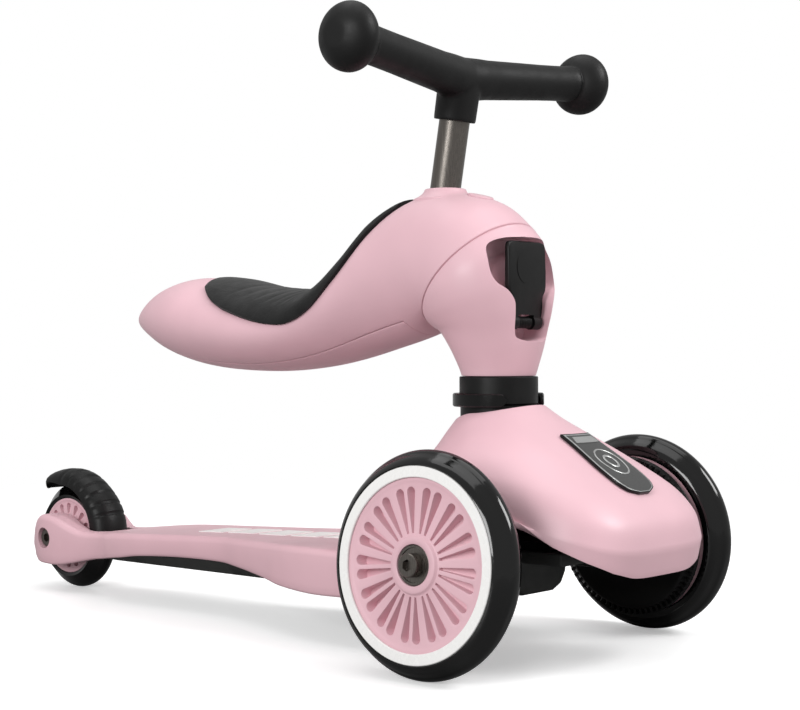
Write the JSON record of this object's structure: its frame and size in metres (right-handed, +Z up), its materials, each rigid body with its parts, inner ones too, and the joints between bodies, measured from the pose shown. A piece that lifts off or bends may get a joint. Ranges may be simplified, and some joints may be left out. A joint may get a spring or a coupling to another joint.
{
  "type": "three-wheel kick scooter",
  "caption": "Ride-on kick scooter with a padded seat on a swivelling stem, a low deck, lean-steered front wheels, a small rear wheel with a foot brake, and a T-shaped handlebar.",
  "frame": {"origin": "on the floor under the middle of the overall length and width", "axes": "+Z up, -Y towards the front of the scooter, +X to the rider's left"},
  "size_m": [0.2522, 0.56, 0.374],
  "materials": {
    "pink_plastic": "satin moulded plastic",
    "black_plastic": "satin moulded plastic",
    "white_plastic": "smooth gloss",
    "pad_foam": "soft matt foam",
    "tyre": "polished cast polyurethane",
    "steel": "brushed"
  },
  "bodies": {
    "frame": {"deck": "pink_plastic", "underside_cover": "black_plastic", "cover_screw_1": "steel", "cover_screw_2": "steel", "cover_screw_3": "steel", "cover_screw_4": "steel", "axle_beam": "black_plastic", "kingpin_right": "steel", "kingpin_left": "steel", "front_cowl": "pink_plastic", "badge_plate": "black_plastic", "column_socket": "black_plastic", "centring_spring": "steel", "fender_pin": "steel", "fender_spring": "steel", "rear_axle_bolt": "steel", "rear_axle_nut": "steel"},
    "knuckle_right": {"steering_knuckle_right": "black_plastic", "front_axle_bolt_right": "steel", "tie_rod_pin_right": "steel"},
    "knuckle_left": {"steering_knuckle_left": "black_plastic", "front_axle_bolt_left": "steel", "tie_rod_pin_left": "steel"},
    "tie_rod": {"tie_rod": "black_plastic"},
    "front_wheel_right": {"front_tyre_right": "tyre", "front_wheel_core_right": "pink_plastic", "front_rim_ring_right": "white_plastic", "front_bearing_outer_right": "steel", "front_bearing_inner_right": "steel"},
    "front_wheel_left": {"front_tyre_left": "tyre", "front_wheel_core_left": "pink_plastic", "front_rim_ring_left": "white_plastic", "front_bearing_outer_left": "steel", "front_bearing_inner_left": "steel"},
    "rear_wheel": {"rear_tyre": "tyre", "rear_wheel_core": "pink_plastic", "rear_bearing_right": "steel", "rear_bearing_left": "steel"},
    "brake": {"brake_fender": "black_plastic"},
    "column": {"stem_column": "black_plastic", "column_collar": "black_plastic", "lock_clip": "black_plastic", "stem_bolt": "steel", "stem_nut": "steel", "stem_shell": "pink_plastic", "lever_pin": "steel", "lever_spring": "steel", "swivel_bolt": "steel"},
    "lever": {"release_lever": "black_plastic"},
    "seat": {"seat_shell": "pink_plastic", "seat_pad": "pad_foam", "seat_underside_panel": "pink_plastic", "panel_screw_1": "steel", "panel_screw_2": "steel", "swivel_nut": "steel", "bar_socket": "black_plastic"},
    "button": {"bar_release_button": "pink_plastic", "button_spring": "steel"},
    "bar": {"bar_tube": "steel", "handlebar": "black_plastic"}
  },
  "joints": [
    {"name": "steer_right", "type": "hinge", "parent": "frame", "child": "knuckle_right", "pos_m": [-0.066, -0.1953, 0.0635], "axis": [0, 0, 1], "range_deg": [-12, 12], "stiffness_Nm_per_rad": 3},
    {"name": "steer_left", "type": "hinge", "parent": "frame", "child": "knuckle_left", "pos_m": [0.066, -0.1953, 0.0635], "axis": [0, 0, 1], "range_deg": [-12, 12]},
    {"name": "tie_rod_pivot", "type": "hinge", "parent": "knuckle_right", "child": "tie_rod", "pos_m": [-0.066, -0.1693, 0.0608], "axis": [0, 0, 1], "range_deg": [-12, 12]},
    {"name": "front_spin_right", "type": "hinge", "parent": "knuckle_right", "child": "front_wheel_right", "pos_m": [-0.1083, -0.1953, 0.06232], "axis": [-0.9971, 0, 0.0767], "continuous": true},
    {"name": "front_spin_left", "type": "hinge", "parent": "knuckle_left", "child": "front_wheel_left", "pos_m": [0.1083, -0.1953, 0.06232], "axis": [0.9971, 0, 0.0767], "continuous": true},
    {"name": "rear_spin", "type": "hinge", "parent": "frame", "child": "rear_wheel", "pos_m": [0, 0.2403, 0.0397], "axis": [1, 0, 0], "continuous": true},
    {"name": "brake_press", "type": "hinge", "parent": "frame", "child": "brake", "pos_m": [0, 0.1893, 0.0415], "axis": [1, 0, 0], "range_deg": [-2.2, 0], "stiffness_Nm_per_rad": 8},
    {"name": "column_height", "type": "slide", "parent": "frame", "child": "column", "axis": [0, 0, 1], "range_m": [0, 0.035]},
    {"name": "lever_tilt", "type": "hinge", "parent": "column", "child": "lever", "pos_m": [0, -0.1799, 0.195], "axis": [1, 0, 0], "range_deg": [0, 12], "stiffness_Nm_per_rad": 0.6},
    {"name": "seat_swivel", "type": "hinge", "parent": "column", "child": "seat", "pos_m": [0, -0.1489, 0.2239], "axis": [0, 0.7071, 0.7071], "range_deg": [0, 180]},
    {"name": "button_press", "type": "slide", "parent": "seat", "child": "button", "axis": [0, 0.2757, -0.9612], "range_m": [0, 0.003], "stiffness_N_per_m": 400},
    {"name": "bar_height", "type": "slide", "parent": "seat", "child": "bar", "axis": [0, -0.1771, 0.9842], "range_m": [0, 0.045]}
  ],
  "couplings": [
    {"joint": "steer_left", "follows": "steer_right", "ratio": 1},
    {"joint": "tie_rod_pivot", "follows": "steer_right", "ratio": -1}
  ]
}
